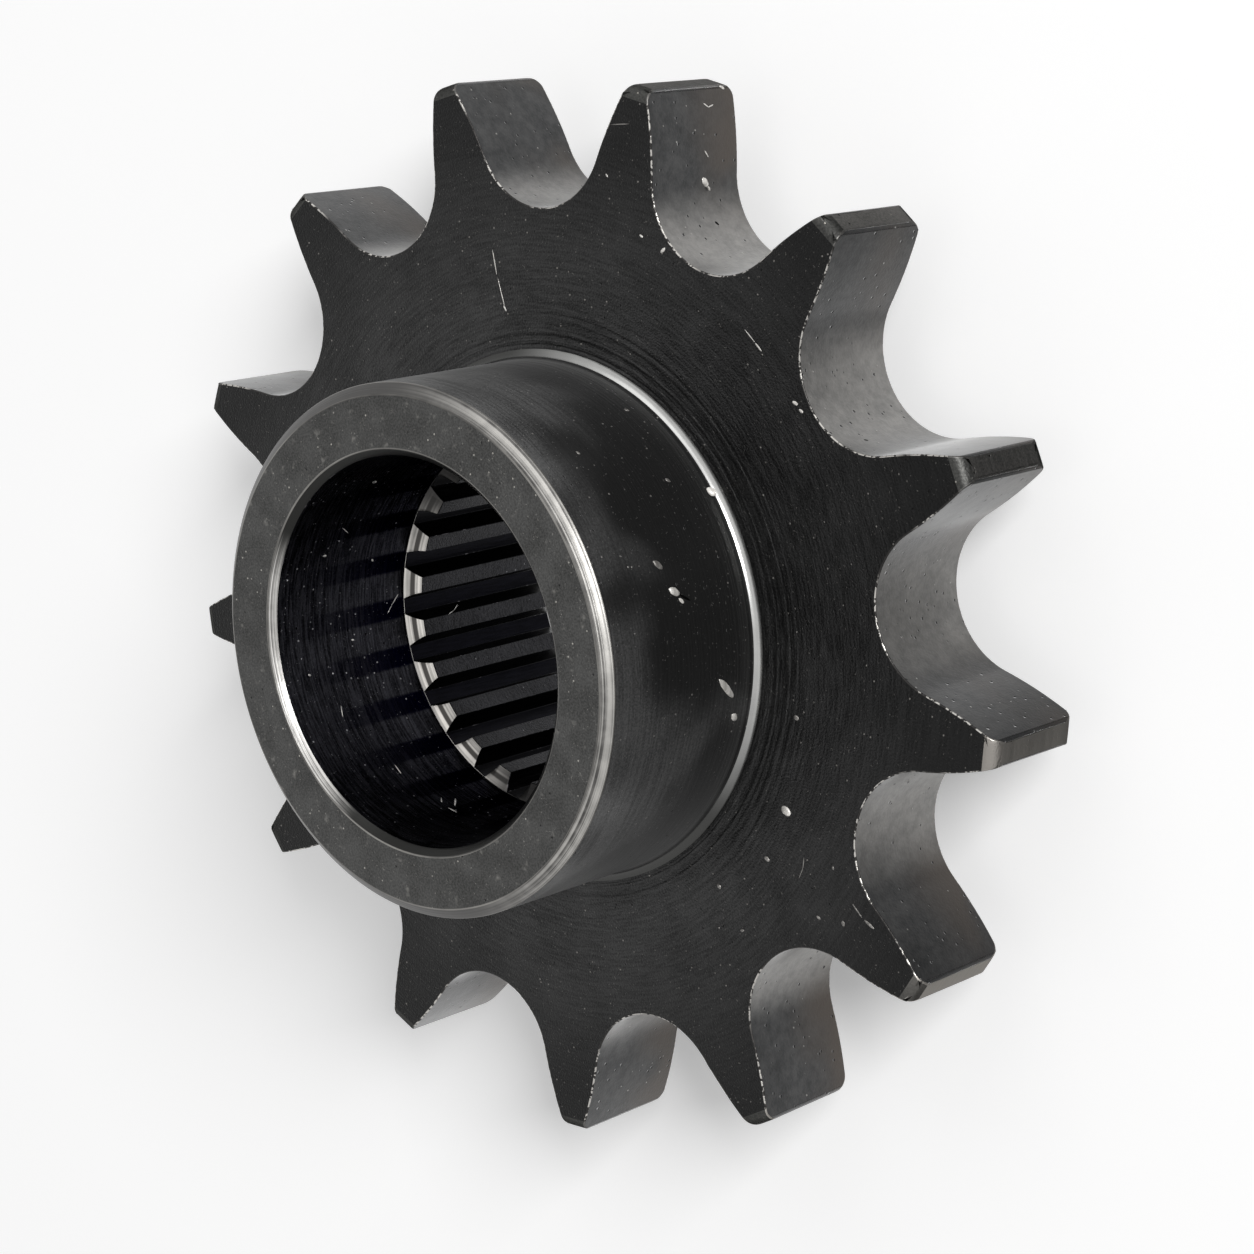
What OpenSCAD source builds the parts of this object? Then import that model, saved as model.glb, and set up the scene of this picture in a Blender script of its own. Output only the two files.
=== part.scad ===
// Front chain sprocket with a long hub and an internally splined bore, turned and toothed
// from one piece of steel. It stands on the short boss behind its disc, with the hub pointing up along +Z.

/* [Chain] */
// Number of chain teeth
teeth = 13; // [11:1:17]
// Pitch of the chain, from pin to pin
chain_pitch = 12.7; // [12.3:0.1:13.1]
// Diameter of the chain's rollers
roller_d = 8.51; // [8.31:0.05:8.71]
// Room between a seated roller and the bottom of its gap
seat_clearance = 0.19; // [0.1:0.01:0.3]
// Angle of the round seat that the roller lies in
seat_angle = 130; // [122:1:134]
// Radius of the convex flank from the seat up to the tip
flank_r = 23; // [20:1:30]
// Height of the tooth tips above the pitch circle
tip_height = 2.73; // [2.45:0.01:2.85]
// Radius of the rounded corners at the tooth tips
tip_corner_r = 0.3; // [0.15:0.05:0.45]

/* [Toothed disc] */
// Thickness of the toothed disc
disc_w = 6.8; // [5.8:0.1:7.4]
// How far the tip chamfers cut down each face of the teeth
tip_chamfer_r = 0.5; // [0.2:0.1:1]
// How far the tip chamfers run in from each face
tip_chamfer_w = 0.6; // [0.2:0.1:1.2]

/* [Hub] */
// Outside diameter of the hub
hub_d = 28.2; // [25:0.1:32]
// Length of the hub in front of the disc
hub_length = 11.2; // [8:0.1:20]
// How far the hub's outer chamfer cuts into its end face
hub_chamfer_r = 0.6; // [0.2:0.1:1.2]
// How far the hub's outer chamfer runs down its side
hub_chamfer_h = 0.5; // [0.2:0.1:1.2]
// Radius of the fillet where the hub meets the disc
hub_fillet_r = 0.5; // [0.2:0.1:1.2]

/* [Rear boss] */
// Length of the boss behind the disc
boss_length = 3; // [2:0.1:6]
// Diameter of the boss behind the disc
boss_d = 28.2; // [26:0.1:32]
// Size of the 45 degree chamfer round the boss's end
boss_chamfer = 0.5; // [0.2:0.1:1]

/* [Bore] */
// Depth of the smooth counterbore, from the hub's end to the splines
counterbore_depth = 9.8; // [6:0.1:12]
// Size of the 45 degree chamfer at the counterbore's mouth
mouth_chamfer = 0.4; // [0.2:0.1:1]

/* [Splines] */
// Number of internal splines
spline_count = 24; // [20:1:26]
// Module of the splines, which is pitch diameter over count
spline_module = 0.815; // [0.79:0.005:0.84]
// Pressure angle of the spline flanks
spline_pressure_angle = 22.5; // [21:0.5:24]
// Height of the spline teeth inside the spline pitch circle
spline_addendum = 0.46; // [0.36:0.02:0.5]
// Depth of the spline spaces outside the spline pitch circle
spline_dedendum = 0.48; // [0.4:0.02:0.6]
// How far the counterbore's wall stands back from the floors of the spline spaces
counterbore_step = 0.06; // [0.04:0.02:0.2]
// Axial length of the cone that leads into the splines at each end
lead_in_length = 0.5; // [0.3:0.1:1]
// Angle from the chain tooth on +X to the next spline tooth
spline_phase = 10.3; // [0:0.1:15]

/* [Hidden] */
$fn = 180;

// How far a cutter runs past the face that it cuts
overrun = 1;
// How far the seat circle and the flank circles overlap, so that they cross cleanly
seat_flank_lap = 0.005;
// How far the gap's wedge reaches into the flank circles that trim it
wedge_reach = 2;
// How far the rounded tip corners stand proud of the circles that they join, so that they cross cleanly
corner_lap = 0.004;
// Straight steps along each involute spline flank
flank_steps = 4;
// Straight steps round the hub's fillet
fillet_steps = 5;

// Chain tooth form
tooth_step = 360 / teeth;
pitch_r = chain_pitch / (2 * sin(tooth_step / 2));
seat_r = roller_d / 2 + seat_clearance;
tip_r = pitch_r + tip_height;
half_seat = seat_angle / 2;
flank_centre_gap = seat_r + flank_r - seat_flank_lap;
flank_x = pitch_r - flank_centre_gap * cos(half_seat);
flank_y = flank_centre_gap * sin(half_seat);

// Centre of a rounded tip corner, where circles round the axis and round the flank's centre meet
flank_centre_r = norm([flank_x, flank_y]);
corner_from_axis = tip_r - tip_corner_r + corner_lap;
corner_from_flank = flank_r - tip_corner_r + corner_lap;
corner_along = (corner_from_axis ^ 2 - corner_from_flank ^ 2 + flank_centre_r ^ 2) / (2 * flank_centre_r);
corner_aside = sqrt(corner_from_axis ^ 2 - corner_along ^ 2);
corner_x = (corner_along * flank_x + corner_aside * flank_y) / flank_centre_r;
corner_y = (corner_along * flank_y - corner_aside * flank_x) / flank_centre_r;

// Hub
hub_r = hub_d / 2;
boss_r = boss_d / 2;
disc_back = boss_length;
disc_front = disc_back + disc_w;
hub_top = disc_front + hub_length;

// Splines and counterbore
spline_step = 360 / spline_count;
spline_pitch_r = spline_module * spline_count / 2;
spline_base_r = spline_pitch_r * cos(spline_pressure_angle);
spline_minor_r = spline_pitch_r - spline_addendum;
spline_major_r = spline_pitch_r + spline_dedendum;
counterbore_r = spline_major_r + counterbore_step;
lead_in_top = hub_top - counterbore_depth;
lead_in_slope = (counterbore_r - spline_minor_r) / lead_in_length;

// Points along a circular arc in the plane
function arc_points(x, y, r, from, to, steps) = [
    for (i = [0:steps]) let (a = from + (to - from) * i / steps) [x + r * cos(a), y + r * sin(a)]
];

// Involute function, in degrees
function involute(a) = tan(a) * 180 / PI - a;

// Half the angle that a spline space takes up at radius r
function space_half_angle(r) =
    spline_step / 4 + involute(spline_pressure_angle) - involute(acos(spline_base_r / r));

// Point on a spline space's flank at radius r, on side 1 or -1
function space_point(r, side) =
    let (a = side * space_half_angle(r)) [r * cos(a), r * sin(a)];

// Where a flank circle stands at distance x from the axis
function flank_at(x) = flank_y - sqrt(flank_r * flank_r - (x - flank_x) * (x - flank_x));

// Section of the turned blank: the boss, the disc with its tip chamfers and the hub
module blank() {
    rotate_extrude()
        polygon(concat(
            [
                [0, 0],
                [boss_r - boss_chamfer, 0],
                [boss_r, boss_chamfer]
            ],
            arc_points(boss_r + hub_fillet_r, disc_back - hub_fillet_r, hub_fillet_r, 180, 90, fillet_steps),
            [
                [tip_r - tip_chamfer_r, disc_back],
                [tip_r, disc_back + tip_chamfer_w],
                [tip_r, disc_front - tip_chamfer_w],
                [tip_r - tip_chamfer_r, disc_front]
            ],
            arc_points(hub_r + hub_fillet_r, disc_front + hub_fillet_r, hub_fillet_r, 270, 180, fillet_steps),
            [
                [hub_r, hub_top - hub_chamfer_h],
                [hub_r - hub_chamfer_r, hub_top],
                [0, hub_top]
            ]
        ));
}

// Point at distance d from the rounded tip corner's centre, towards angle a
function corner_point(d, a) = [corner_x + d * cos(a), corner_y + d * sin(a)];

// What the gap takes off one tooth's corner: the tangents' wedge round the corner, less its circle
module tip_corner() {
    flank_end = atan2(corner_y - flank_y, corner_x - flank_x);
    tip_end = atan2(corner_y, corner_x);
    reach = tip_corner_r / cos((tip_end - flank_end) / 2);
    difference() {
        polygon([
            [corner_x, corner_y],
            corner_point(tip_corner_r, flank_end),
            corner_point(reach, (flank_end + tip_end) / 2),
            corner_point(tip_corner_r, tip_end)
        ]);
        translate([corner_x, corner_y])
            circle(r = tip_corner_r);
    }
}

// Outline of one gap between chain teeth, on +X: a round seat that opens between two convex flanks
module gap_outline() {
    wedge_inner = seat_r / 2;
    wedge_outer = seat_r + wedge_reach;
    wedge_end = tip_r + overrun;
    wedge_half = flank_at(wedge_end) + overrun;
    translate([pitch_r, 0])
        circle(r = seat_r);
    difference() {
        polygon([
            [pitch_r - wedge_inner * cos(half_seat), -wedge_inner * sin(half_seat)],
            [pitch_r - wedge_outer * cos(half_seat), -wedge_outer * sin(half_seat)],
            [wedge_end, -wedge_half],
            [wedge_end, wedge_half],
            [pitch_r - wedge_outer * cos(half_seat), wedge_outer * sin(half_seat)],
            [pitch_r - wedge_inner * cos(half_seat), wedge_inner * sin(half_seat)]
        ]);
        for (side = [-1, 1])
            translate([flank_x, side * flank_y])
                circle(r = flank_r);
    }
    tip_corner();
    mirror([0, 1])
        tip_corner();
}

// Cutters for all the gaps, with one tooth left centred on +X
module tooth_gaps() {
    for (i = [0:teeth - 1])
        rotate(tooth_step * (i + 0.5))
            translate([0, 0, disc_back - overrun])
                linear_extrude(height = disc_w + 2 * overrun)
                    gap_outline();
}

// Turned bore: minor diameter of the splines, their lead-in cones, the counterbore and its mouth
module turned_bore() {
    mouth_top = hub_top + overrun;
    rotate_extrude()
        polygon([
            [0, -overrun],
            [counterbore_r + overrun * lead_in_slope, -overrun],
            [spline_minor_r, lead_in_length],
            [spline_minor_r, lead_in_top - lead_in_length],
            [counterbore_r, lead_in_top],
            [counterbore_r, hub_top - mouth_chamfer],
            [counterbore_r + mouth_chamfer + overrun, mouth_top],
            [0, mouth_top]
        ]);
}

// Outline of one spline space, on +X: involute flanks that close in towards its floor
module space_outline() {
    inner_r = (spline_base_r + spline_minor_r) / 2;
    step_r = (spline_major_r - inner_r) / flank_steps;
    polygon(concat(
        [for (i = [0:flank_steps]) space_point(inner_r + i * step_r, -1)],
        [for (i = [flank_steps:-1:0]) space_point(inner_r + i * step_r, 1)]
    ));
}

// Broached spline spaces, from below the boss's end up into the counterbore
module broached_spaces() {
    for (i = [0:spline_count - 1])
        rotate(spline_phase + spline_step * (i + 0.5))
            translate([0, 0, -overrun])
                linear_extrude(height = lead_in_top + 2 * overrun)
                    space_outline();
}

// The whole sprocket, one piece of blackened steel
module sprocket() {
    color("dimgray")
        difference() {
            blank();
            tooth_gaps();
            turned_bore();
            broached_spaces();
        }
}

sprocket();
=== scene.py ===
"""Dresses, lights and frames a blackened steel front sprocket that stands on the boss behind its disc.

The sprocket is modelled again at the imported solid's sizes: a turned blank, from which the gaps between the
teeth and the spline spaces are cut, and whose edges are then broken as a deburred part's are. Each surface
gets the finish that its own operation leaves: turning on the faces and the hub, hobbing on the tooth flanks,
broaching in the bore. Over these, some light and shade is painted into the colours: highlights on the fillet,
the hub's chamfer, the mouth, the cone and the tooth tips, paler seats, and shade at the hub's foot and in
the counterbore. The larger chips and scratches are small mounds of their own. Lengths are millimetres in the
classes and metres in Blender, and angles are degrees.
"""

import logging
import math
from dataclasses import dataclass
from enum import Enum

import bpy
from mathutils import Matrix, Vector

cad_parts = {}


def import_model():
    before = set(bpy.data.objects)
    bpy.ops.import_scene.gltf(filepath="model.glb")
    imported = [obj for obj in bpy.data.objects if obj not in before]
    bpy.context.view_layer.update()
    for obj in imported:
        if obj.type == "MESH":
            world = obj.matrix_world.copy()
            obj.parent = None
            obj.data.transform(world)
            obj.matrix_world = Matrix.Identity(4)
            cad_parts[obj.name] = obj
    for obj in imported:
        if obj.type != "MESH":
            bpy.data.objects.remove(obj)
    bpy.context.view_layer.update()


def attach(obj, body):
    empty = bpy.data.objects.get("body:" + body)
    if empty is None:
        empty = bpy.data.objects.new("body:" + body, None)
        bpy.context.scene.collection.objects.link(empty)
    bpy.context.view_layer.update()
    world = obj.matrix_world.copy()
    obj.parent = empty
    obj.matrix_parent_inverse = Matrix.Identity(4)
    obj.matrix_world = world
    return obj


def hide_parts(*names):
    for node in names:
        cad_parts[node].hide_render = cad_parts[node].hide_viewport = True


LOG = logging.getLogger("sprocket")
MM = 0.001
# Points closer than this many millimetres are one point
MERGE = 0.0001
# Faces that turn less than this between them are one flat face
FLAT_DEGREES = 0.2
# Edges that turn more than this are sharp
SHARP_DEGREES = 12.0
TIP_RADIUS = 29.265
# The colour inputs and output of a mix node share their names with others, so they go by number
MIX_UNDER = 6
MIX_OVER = 7
MIX_COLOUR = 2
# Makes a range's value leave its low end and reach its high end gently
GENTLE = {"interpolation_type": "SMOOTHSTEP"}
# Keeps the part of a direction that is square to the axis
LEVEL = (1.0, 1.0, 0.0)
NODE = "sprocket"
BODY = "root"
WEIGHTS = "bevel_weight_edge"
Socket = bpy.types.NodeSocket


class Zone(Enum):
    """Machined surfaces of the sprocket, in the order of their material slots."""

    DISC_FACE = 0
    FLANK = 1
    TIP_LAND = 2
    TIP_CHAMFER = 3
    FILLET = 4
    HUB_SIDE = 5
    HUB_CHAMFER = 6
    HUB_END = 7
    MOUTH = 8
    COUNTERBORE = 9
    SPLINE_FLOOR = 10
    LEAD_IN = 11
    SPLINE_LAND = 12
    SPLINE_FLANK = 13
    BROKEN_EDGE = 14
    HUB_EDGE = 15
    BORE_EDGE = 16


def linear(colour: str) -> tuple[float, float, float, float]:
    """Turns an sRGB hex colour into the linear colour that a shader takes.

    Args:
        colour: Six hex digits after a hash.

    Returns:
        Linear red, green, blue and an alpha of 1.
    """
    parts = [int(colour[i:i + 2], 16) / 255 for i in (1, 3, 5)]
    straight = [c / 12.92 if c <= 0.04045 else ((c + 0.055) / 1.055) ** 2.4 for c in parts]
    return (*straight, 1.0)


def add_node(tree: bpy.types.NodeTree, kind: str, inputs: dict, output: int | str = 0,
             **settings) -> Socket | None:
    """Adds a node, sets its properties, fills its inputs and gives one of its outputs.

    Args:
        tree: Node tree that gets the node.
        kind: Blender's name of the node type, less the ShaderNode that it starts with.
        inputs: Value or output socket for each input, by its name or number.
        output: Name or number of the output that is wanted.
        **settings: Properties of the node itself.

    Returns:
        The wanted output socket, or None where the node has no output.
    """
    node = tree.nodes.new("ShaderNode" + kind)
    for name, value in settings.items():
        setattr(node, name, value)
    for key, value in inputs.items():
        if isinstance(value, Socket):
            tree.links.new(value, node.inputs[key])
        else:
            node.inputs[key].default_value = value
    return node.outputs[output] if node.outputs else None


@dataclass(frozen=True)
class Patches:
    """Uneven patches: their rough size, and the noise levels between which they rise from 0 to 1.

    The detail is how many octaves of finer noise they have.
    """

    size_mm: float
    low: float = 0.3
    high: float = 0.7
    detail: float = 2.0


@dataclass(frozen=True)
class Streaks:
    """Marks that follow a lathe tool round the part: their rough length at the tooth tips and their width.

    The lean is how much a step along the axis counts beside a step away from it. The rest is as in patches.
    """

    length_mm: float
    width_mm: float
    low: float = 0.35
    high: float = 0.65
    detail: float = 2.0
    lean: float = 1.0


@dataclass(frozen=True)
class Specks:
    """Round dots that gather in patches. A patch holds dots where its noise is above the bare level."""

    cell_mm: float
    dot_mm: float
    patch_mm: float
    bare: float
    patch_rise: float = 0.02


@dataclass(frozen=True)
class Stretch:
    """A stretch round the part: its middle's bearing, its reach to either side and its fade beyond."""

    centre: float
    reach: float
    fade: float


class Surface:
    """A material's node tree, with the coordinates and the patterns that the steel finishes share."""

    def __init__(self, name: str) -> None:
        """Starts an empty material with the given name.

        Args:
            name: Name of the material.
        """
        self.material = bpy.data.materials.new(name)
        self.material.use_nodes = True
        self.tree = self.material.node_tree
        self.tree.nodes.clear()
        self.place = self.add("TexCoord", {}, "Object")

    def add(self, kind: str, inputs: dict, output: int | str = 0, **settings) -> Socket | None:
        """Adds a node to this material's tree and gives one of its outputs."""
        return add_node(self.tree, kind, inputs, output, **settings)

    def height(self) -> Socket:
        """Gives the height along the axis in metres."""
        return self.add("SeparateXYZ", {0: self.place}, "Z")

    def radius(self) -> Socket:
        """Gives the distance from the axis in metres."""
        flat = self.add("VectorMath", {0: self.place, 1: LEVEL}, operation="MULTIPLY")
        return self.add("VectorMath", {0: flat}, "Value", operation="LENGTH")

    def outward(self) -> Socket:
        """Gives the direction straight away from the axis."""
        flat = self.add("VectorMath", {0: self.place, 1: LEVEL}, operation="MULTIPLY")
        return self.add("VectorMath", {0: flat}, operation="NORMALIZE")

    def patches(self, look: Patches, place: Socket | None = None) -> Socket:
        """Makes uneven patches, as a value from 0 to 1.

        Args:
            look: Size and levels of the patches.
            place: Coordinates in metres, or the object's own where None.

        Returns:
            The socket that holds the value.
        """
        noise = self.add("TexNoise", {"Vector": self.place if place is None else place,
                                      "Scale": 1 / (look.size_mm * MM), "Detail": look.detail})
        return self.add("MapRange", {"Value": noise, "From Min": look.low, "From Max": look.high}, **GENTLE)

    def streaks(self, look: Streaks) -> Socket:
        """Makes marks that follow a lathe tool, as a value from 0 to 1.

        Args:
            look: Size and levels of the marks.

        Returns:
            The socket that holds the value.
        """
        marks_round = TIP_RADIUS / look.length_mm * MM
        turn = self.add("VectorMath", {0: self.outward(), "Scale": marks_round}, operation="SCALE")
        across = self.add("Math", {0: self.height(), 1: look.lean, 2: self.radius()},
                          operation="MULTIPLY_ADD")
        across = self.add("Math", {0: across, 1: 1 / look.width_mm}, operation="MULTIPLY")
        lift = self.add("CombineXYZ", {"Z": across})
        place = self.add("VectorMath", {0: turn, 1: lift}, operation="ADD")
        return self.patches(Patches(1.0, look.low, look.high, look.detail), place)

    def specks(self, look: Specks) -> Socket:
        """Makes scattered round dots, as a value of 1 in a dot and 0 between dots.

        Args:
            look: Size and spacing of the dots.

        Returns:
            The socket that holds the value.
        """
        cells = 1 / (look.cell_mm * MM)
        away = self.add("TexVoronoi", {"Vector": self.place, "Scale": cells}, "Distance")
        size = look.dot_mm / look.cell_mm
        dot = self.add("MapRange", {"Value": away, "From Min": size / 2, "From Max": size / 4})
        here = self.patches(Patches(look.patch_mm, look.bare, look.bare + look.patch_rise, 0.0))
        return self.add("Math", {0: dot, 1: here}, operation="MULTIPLY")

    def stretch(self, look: Stretch) -> Socket:
        """Marks a stretch round the part, as a value of 1 that fades to 0 past its ends.

        Args:
            look: Place and length of the stretch.

        Returns:
            The socket that holds the value.
        """
        turn = math.radians(look.centre)
        near = self.add("VectorMath", {0: self.outward(), 1: (math.cos(turn), math.sin(turn), 0.0)},
                        "Value", operation="DOT_PRODUCT")
        return self.add("MapRange", {
            "Value": near, "From Min": math.cos(math.radians(look.reach + look.fade)),
            "From Max": math.cos(math.radians(look.reach))}, **GENTLE)

    def coats(self, base: str | Socket, layers: list[tuple]) -> Socket:
        """Lays coats of colour over a base, one after another.

        Args:
            base: Hex colour or pattern of what lies below.
            layers: For each coat, how far it covers and its hex colour or pattern.

        Returns:
            The socket that holds the colour.
        """
        under = linear(base) if isinstance(base, str) else base
        for share, colour in layers:
            over = linear(colour) if isinstance(colour, str) else colour
            under = self.add("Mix", {"Factor": share, MIX_UNDER: under, MIX_OVER: over}, MIX_COLOUR,
                             data_type="RGBA")
        return under

    def relief(self, layers: list[tuple[Socket, float]]) -> Socket:
        """Raises the surface by patterns, each with its height in millimetres, and gives the normal.

        Args:
            layers: For each pattern, its socket and its height in millimetres.

        Returns:
            The socket that holds the normal.
        """
        normal = self.add("NewGeometry", {}, "Normal")
        for pattern, height_mm in layers:
            normal = self.add("Bump", {"Height": pattern, "Distance": height_mm * MM, "Strength": 1.0,
                                       "Normal": normal})
        return normal

    def finish(self, shader: dict) -> bpy.types.Material:
        """Adds the shader with its inputs and the output, and gives the finished material.

        Args:
            shader: Inputs of the principled shader, by name.

        Returns:
            The finished material.
        """
        steel = self.add("BsdfPrincipled", shader)
        self.add("OutputMaterial", {"Surface": steel})
        return self.material


@dataclass(frozen=True)
class TurnedOxide:
    """Black oxide over turned steel.

    To the eye it is a dark satin skin with a fine grain, faint rings that catch the light, and a few pale
    specks where the oxide has chipped.
    """

    name: str
    dark: str
    light: str
    speck: str
    roughness: float
    metallic: float
    rings: Streaks
    ring_share: float
    ring_depth_mm: float
    grain_depth_mm: float
    # The skin's own grain is too fine to show in the render, so it is drawn about two pixels coarse
    grain: Patches = Patches(0.11)
    cloud: Patches = Patches(3.5, detail=4.0)
    cloud_share: float = 0.4
    chips: Specks = Specks(0.6, 0.13, 2.5, 0.5)
    chip_height_mm: float = 0.02
    pits: Specks = Specks(0.8, 0.17, 1.7, 0.45)
    pit: str = "#0e0e0e"
    pit_depth_mm: float = 0.03
    dust: Patches = Patches(0.13, 0.67, 0.74, 3.0)
    dust_share: float = 0.45
    dust_height_mm: float = 0.01
    edge_gloss: str = "#ffffff"
    sheen: float = 0.0
    roughness_swing: float = 0.05

    def own_coats(self, s: Surface) -> list[tuple]:
        """Gives the coats that only this finish has. A plain one has none."""
        return []

    def own_relief(self, s: Surface) -> list[tuple[Socket, float]]:
        """Gives the relief that only this finish has. A plain one has none."""
        return []

    def material(self) -> bpy.types.Material:
        """Builds the material.

        Returns:
            The finished material.
        """
        s = Surface(self.name)
        rings = s.streaks(self.rings)
        grain = s.patches(self.grain)
        tone = s.add("Mix", {"Factor": self.cloud_share, "A": grain, "B": s.patches(self.cloud)})
        tone = s.add("Mix", {"Factor": self.ring_share, "A": tone, "B": rings})
        chips = s.specks(self.chips)
        pits = s.specks(self.pits)
        dust = s.patches(self.dust)
        thin_dust = s.add("Math", {0: dust, 1: self.dust_share}, operation="MULTIPLY")
        base = s.coats(self.dark, [(tone, self.light), *self.own_coats(s), (pits, self.pit),
                                   (thin_dust, self.speck), (chips, self.speck)])
        rough = s.add("MapRange", {"Value": rings, "To Min": self.roughness - self.roughness_swing,
                                   "To Max": self.roughness + self.roughness_swing})
        normal = s.relief([(grain, self.grain_depth_mm), (rings, self.ring_depth_mm),
                           (chips, self.chip_height_mm), (pits, -self.pit_depth_mm),
                           (dust, self.dust_height_mm), *self.own_relief(s)])
        return s.finish({"Base Color": base, "Metallic": self.metallic, "Roughness": rough, "Normal": normal,
                         "Specular Tint": linear(self.edge_gloss), "Sheen Weight": self.sheen})


@dataclass(frozen=True)
class FacedOxide(TurnedOxide):
    """Black oxide on the faces of the disc.

    To the eye it is near black, darker still towards the teeth, with coarse tool marks round the hub's foot.
    """

    rim: str = "#121212"
    rim_start_mm: float = 18.0
    rim_end_mm: float = 27.0
    rim_share: float = 0.8
    grooves: Streaks = Streaks(90.0, 0.3, 0.3, 0.7, 1.0)
    groove_depth_mm: float = 0.05
    groove_start_mm: float = 14.8
    groove_end_mm: float = 18.2

    def own_coats(self, s: Surface) -> list[tuple]:
        """Gives the darker coat towards the teeth.

        Args:
            s: Node tree of the material.

        Returns:
            For each coat, how far it covers and its colour.
        """
        far = s.add("MapRange", {"Value": s.radius(), "From Min": self.rim_start_mm * MM,
                                 "From Max": self.rim_end_mm * MM, "To Max": self.rim_share})
        return [(far, self.rim)]

    def own_relief(self, s: Surface) -> list[tuple[Socket, float]]:
        """Gives the tool marks round the foot of the hub.

        Args:
            s: Node tree of the material.

        Returns:
            For each pattern, its socket and its height in millimetres.
        """
        near = s.add("MapRange", {"Value": s.radius(), "From Min": self.groove_end_mm * MM,
                                  "From Max": self.groove_start_mm * MM})
        marks = s.add("Math", {0: near, 1: s.streaks(self.grooves)}, operation="MULTIPLY")
        return [(marks, self.groove_depth_mm)]


@dataclass(frozen=True)
class FootedOxide(TurnedOxide):
    """Black oxide on the side of the hub.

    To the eye it is a soft grey satin that turns to black, along a cloudy border, towards the disc; this
    black is painted shade.
    """

    # Painted shade: the black near the disc
    foot: str = "#1f1f1f"
    foot_start_mm: float = 12.0
    foot_end_mm: float = 21.5
    sway: Patches = Patches(5.0, detail=1.0)
    sway_mm: float = 6.0
    # Raises the painted shade on the side that faces the camera
    high_side: Stretch = Stretch(-76.0, 8.0, 34.0)
    high_side_mm: float = 7.0

    def own_coats(self, s: Surface) -> list[tuple]:
        """Gives the painted shade near the disc, which reaches higher up on the side that faces the camera.

        Args:
            s: Node tree of the material.

        Returns:
            For each coat, how far it covers and its colour.
        """
        height = s.add("Math", {0: s.patches(self.sway), 1: self.sway_mm * MM, 2: s.height()},
                       operation="MULTIPLY_ADD")
        height = s.add("Math", {0: s.stretch(self.high_side), 1: -self.high_side_mm * MM, 2: height},
                       operation="MULTIPLY_ADD")
        low = s.add("MapRange", {"Value": height, "From Min": self.foot_end_mm * MM,
                                 "From Max": self.foot_start_mm * MM}, **GENTLE)
        return [(low, self.foot)]


@dataclass(frozen=True)
class HandledOxide(TurnedOxide):
    """Black oxide on the hub's end, where the part has been laid down and handled.

    To the eye it is an even dark grey satin with soft pale blotches, as a thumb leaves them.
    """

    blotch: str = "#8a8884"
    blotches: Patches = Patches(0.7, 0.6, 0.78, 3.0)
    blotch_share: float = 0.6

    def own_coats(self, s: Surface) -> list[tuple]:
        """Gives the blotches.

        Args:
            s: Node tree of the material.

        Returns:
            For each coat, how far it covers and its colour.
        """
        lit_stretch = s.patches(self.blotches)
        share = s.add("Math", {0: lit_stretch, 1: self.blotch_share}, operation="MULTIPLY")
        return [(share, self.blotch)]


@dataclass(frozen=True)
class LitTipOxide(TurnedOxide):
    """Black oxide on the tips of the teeth.

    To the eye it is dark grey satin, turned pale grey by a painted highlight on the teeth round one bearing.
    """

    # Painted highlight: the pale grey that the tips take on the teeth round one bearing
    lit_tone: str = "#aca8a2"
    lit_teeth: Stretch = Stretch(-140.0, 8.0, 38.0)

    def own_coats(self, s: Surface) -> list[tuple]:
        """Gives the stretch of painted highlight."""
        return [(s.stretch(self.lit_teeth), self.lit_tone)]


@dataclass(frozen=True)
class BandedOxide(TurnedOxide):
    """Black oxide on the counterbore's wall.

    To the eye it is a shiny black wall with fine rings, and soft blue-black bands of painted shade in line
    with the spline spaces, which fade towards the mouth.
    """

    # Painted shade: the spline spaces' shadows along the wall, darkest by the cone and gone near the mouth
    band_shade: str = "#020210"
    bands: int = 24
    band_phase: float = 17.8
    band_low_mm: float = 11.2
    band_high_mm: float = 20.5
    band_edge: float = 0.0
    band_core: float = 0.45

    def own_coats(self, s: Surface) -> list[tuple]:
        """Gives the bands of painted shade, each between two turns of a wave that runs round the wall.

        Args:
            s: Node tree of the material.

        Returns:
            For each coat, how far it covers and its colour.
        """
        place = s.add("SeparateXYZ", {0: s.place}).node.outputs
        turn = s.add("Math", {0: place["Y"], 1: place["X"]}, operation="ARCTAN2")
        start = -self.bands * math.radians(self.band_phase)
        turn = s.add("Math", {0: turn, 1: self.bands, 2: start}, operation="MULTIPLY_ADD")
        wave = s.add("Math", {0: turn}, operation="COSINE")
        band_shade = s.add("MapRange", {"Value": wave, "From Min": self.band_edge, "From Max": self.band_core},
                     **GENTLE)
        fade = s.add("MapRange", {"Value": place["Z"], "From Min": self.band_high_mm * MM,
                                  "From Max": self.band_low_mm * MM}, **GENTLE)
        return [(s.add("Math", {0: band_shade, 1: fade}, operation="MULTIPLY"), self.band_shade)]


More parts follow.
